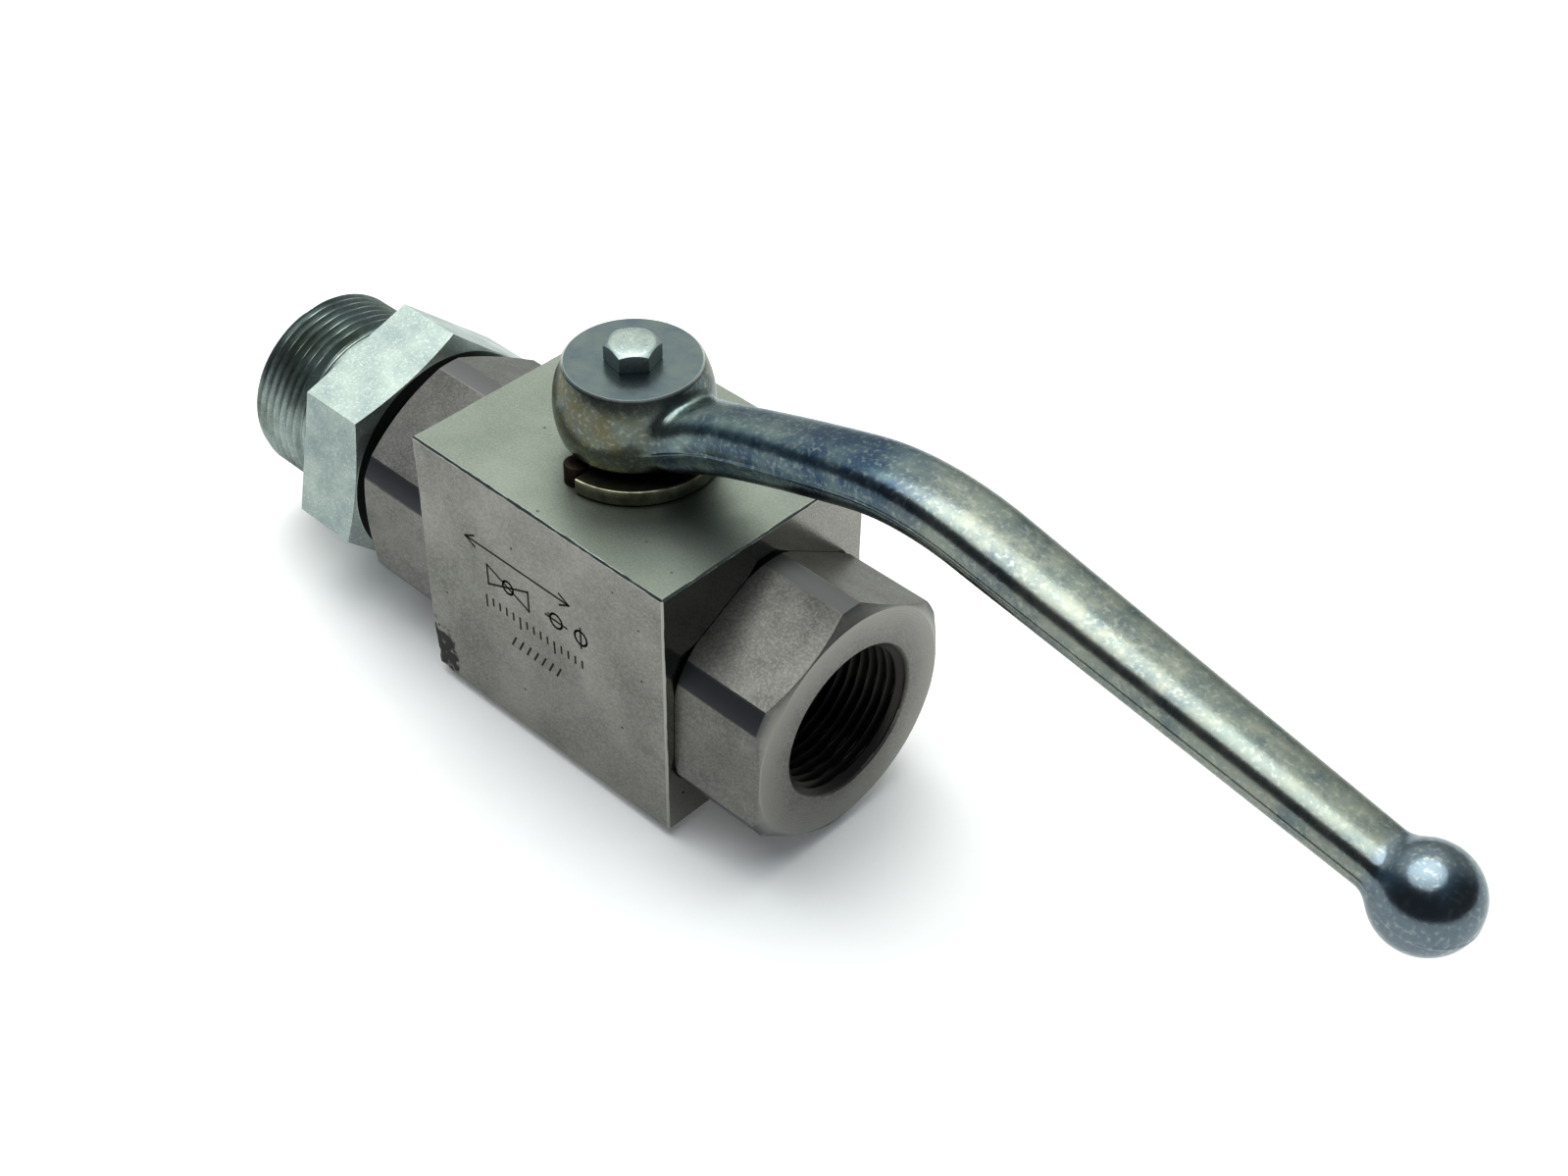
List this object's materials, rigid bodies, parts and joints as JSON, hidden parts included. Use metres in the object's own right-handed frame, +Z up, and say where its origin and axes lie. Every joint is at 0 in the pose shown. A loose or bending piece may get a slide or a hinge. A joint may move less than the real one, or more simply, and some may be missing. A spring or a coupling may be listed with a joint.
{
  "type": "ball valve",
  "caption": "High-pressure block ball valve with a cranked lever, hexagonal screwed-in ports and a male stud adapter; the lever turns the ball a quarter turn to open or shut the flow.",
  "frame": {"origin": "middle of the block's bottom face, straight under the stem", "axes": "+X along the flow towards the free threaded port, +Z up the stem, lever drawn open along +X"},
  "size_m": [0.285, 0.0548, 0.0962],
  "materials": {
    "bare_steel": "bare milled steel, satin, warm grey",
    "turned_steel": "bare turned steel, satin, dark corner strips",
    "zinc_plate": "bright blue-white zinc plating",
    "passivated_steel": "zinc-plated forging, semi-gloss, mottled blue-grey",
    "ground_steel": "ground and polished steel",
    "browned_steel": "browned steel, dull",
    "spring_steel": "blackened spring steel",
    "acetal": "natural acetal, matt",
    "rubber": "black nitrile rubber"
  },
  "bodies": {
    "valve_body": {"valve_block": "bare_steel", "front_connector": "turned_steel", "rear_connector": "turned_steel", "front_seat": "acetal", "rear_seat": "acetal", "front_seat_o_ring": "rubber", "rear_seat_o_ring": "rubber", "front_connector_o_ring": "rubber", "rear_connector_o_ring": "rubber", "front_connector_backup_ring": "acetal", "rear_connector_backup_ring": "acetal", "stem_thrust_washer": "acetal", "stop_pin": "browned_steel", "stud_adapter": "zinc_plate", "bonded_seal_ring": "spring_steel", "bonded_seal_lip": "rubber"},
    "stem_and_lever": {"stem": "ground_steel", "stem_lower_o_ring": "rubber", "stem_upper_o_ring": "rubber", "stem_backup_ring": "acetal", "stop_disc": "zinc_plate", "stem_retaining_ring": "spring_steel", "lever": "passivated_steel", "lever_screw": "zinc_plate"},
    "ball_body": {"ball": "ground_steel"}
  },
  "joints": [
    {"name": "lever_turn", "type": "hinge", "parent": "valve_body", "child": "stem_and_lever", "pos_m": [0, 0, 0.0618], "axis": [0, 0, 1], "range_deg": [0, 90]},
    {"name": "ball_turn", "type": "hinge", "parent": "valve_body", "child": "ball_body", "pos_m": [0, 0, 0.0262], "axis": [0, 0, 1], "range_deg": [0, 90]}
  ],
  "couplings": [
    {"joint": "ball_turn", "follows": "lever_turn", "ratio": 1}
  ]
}
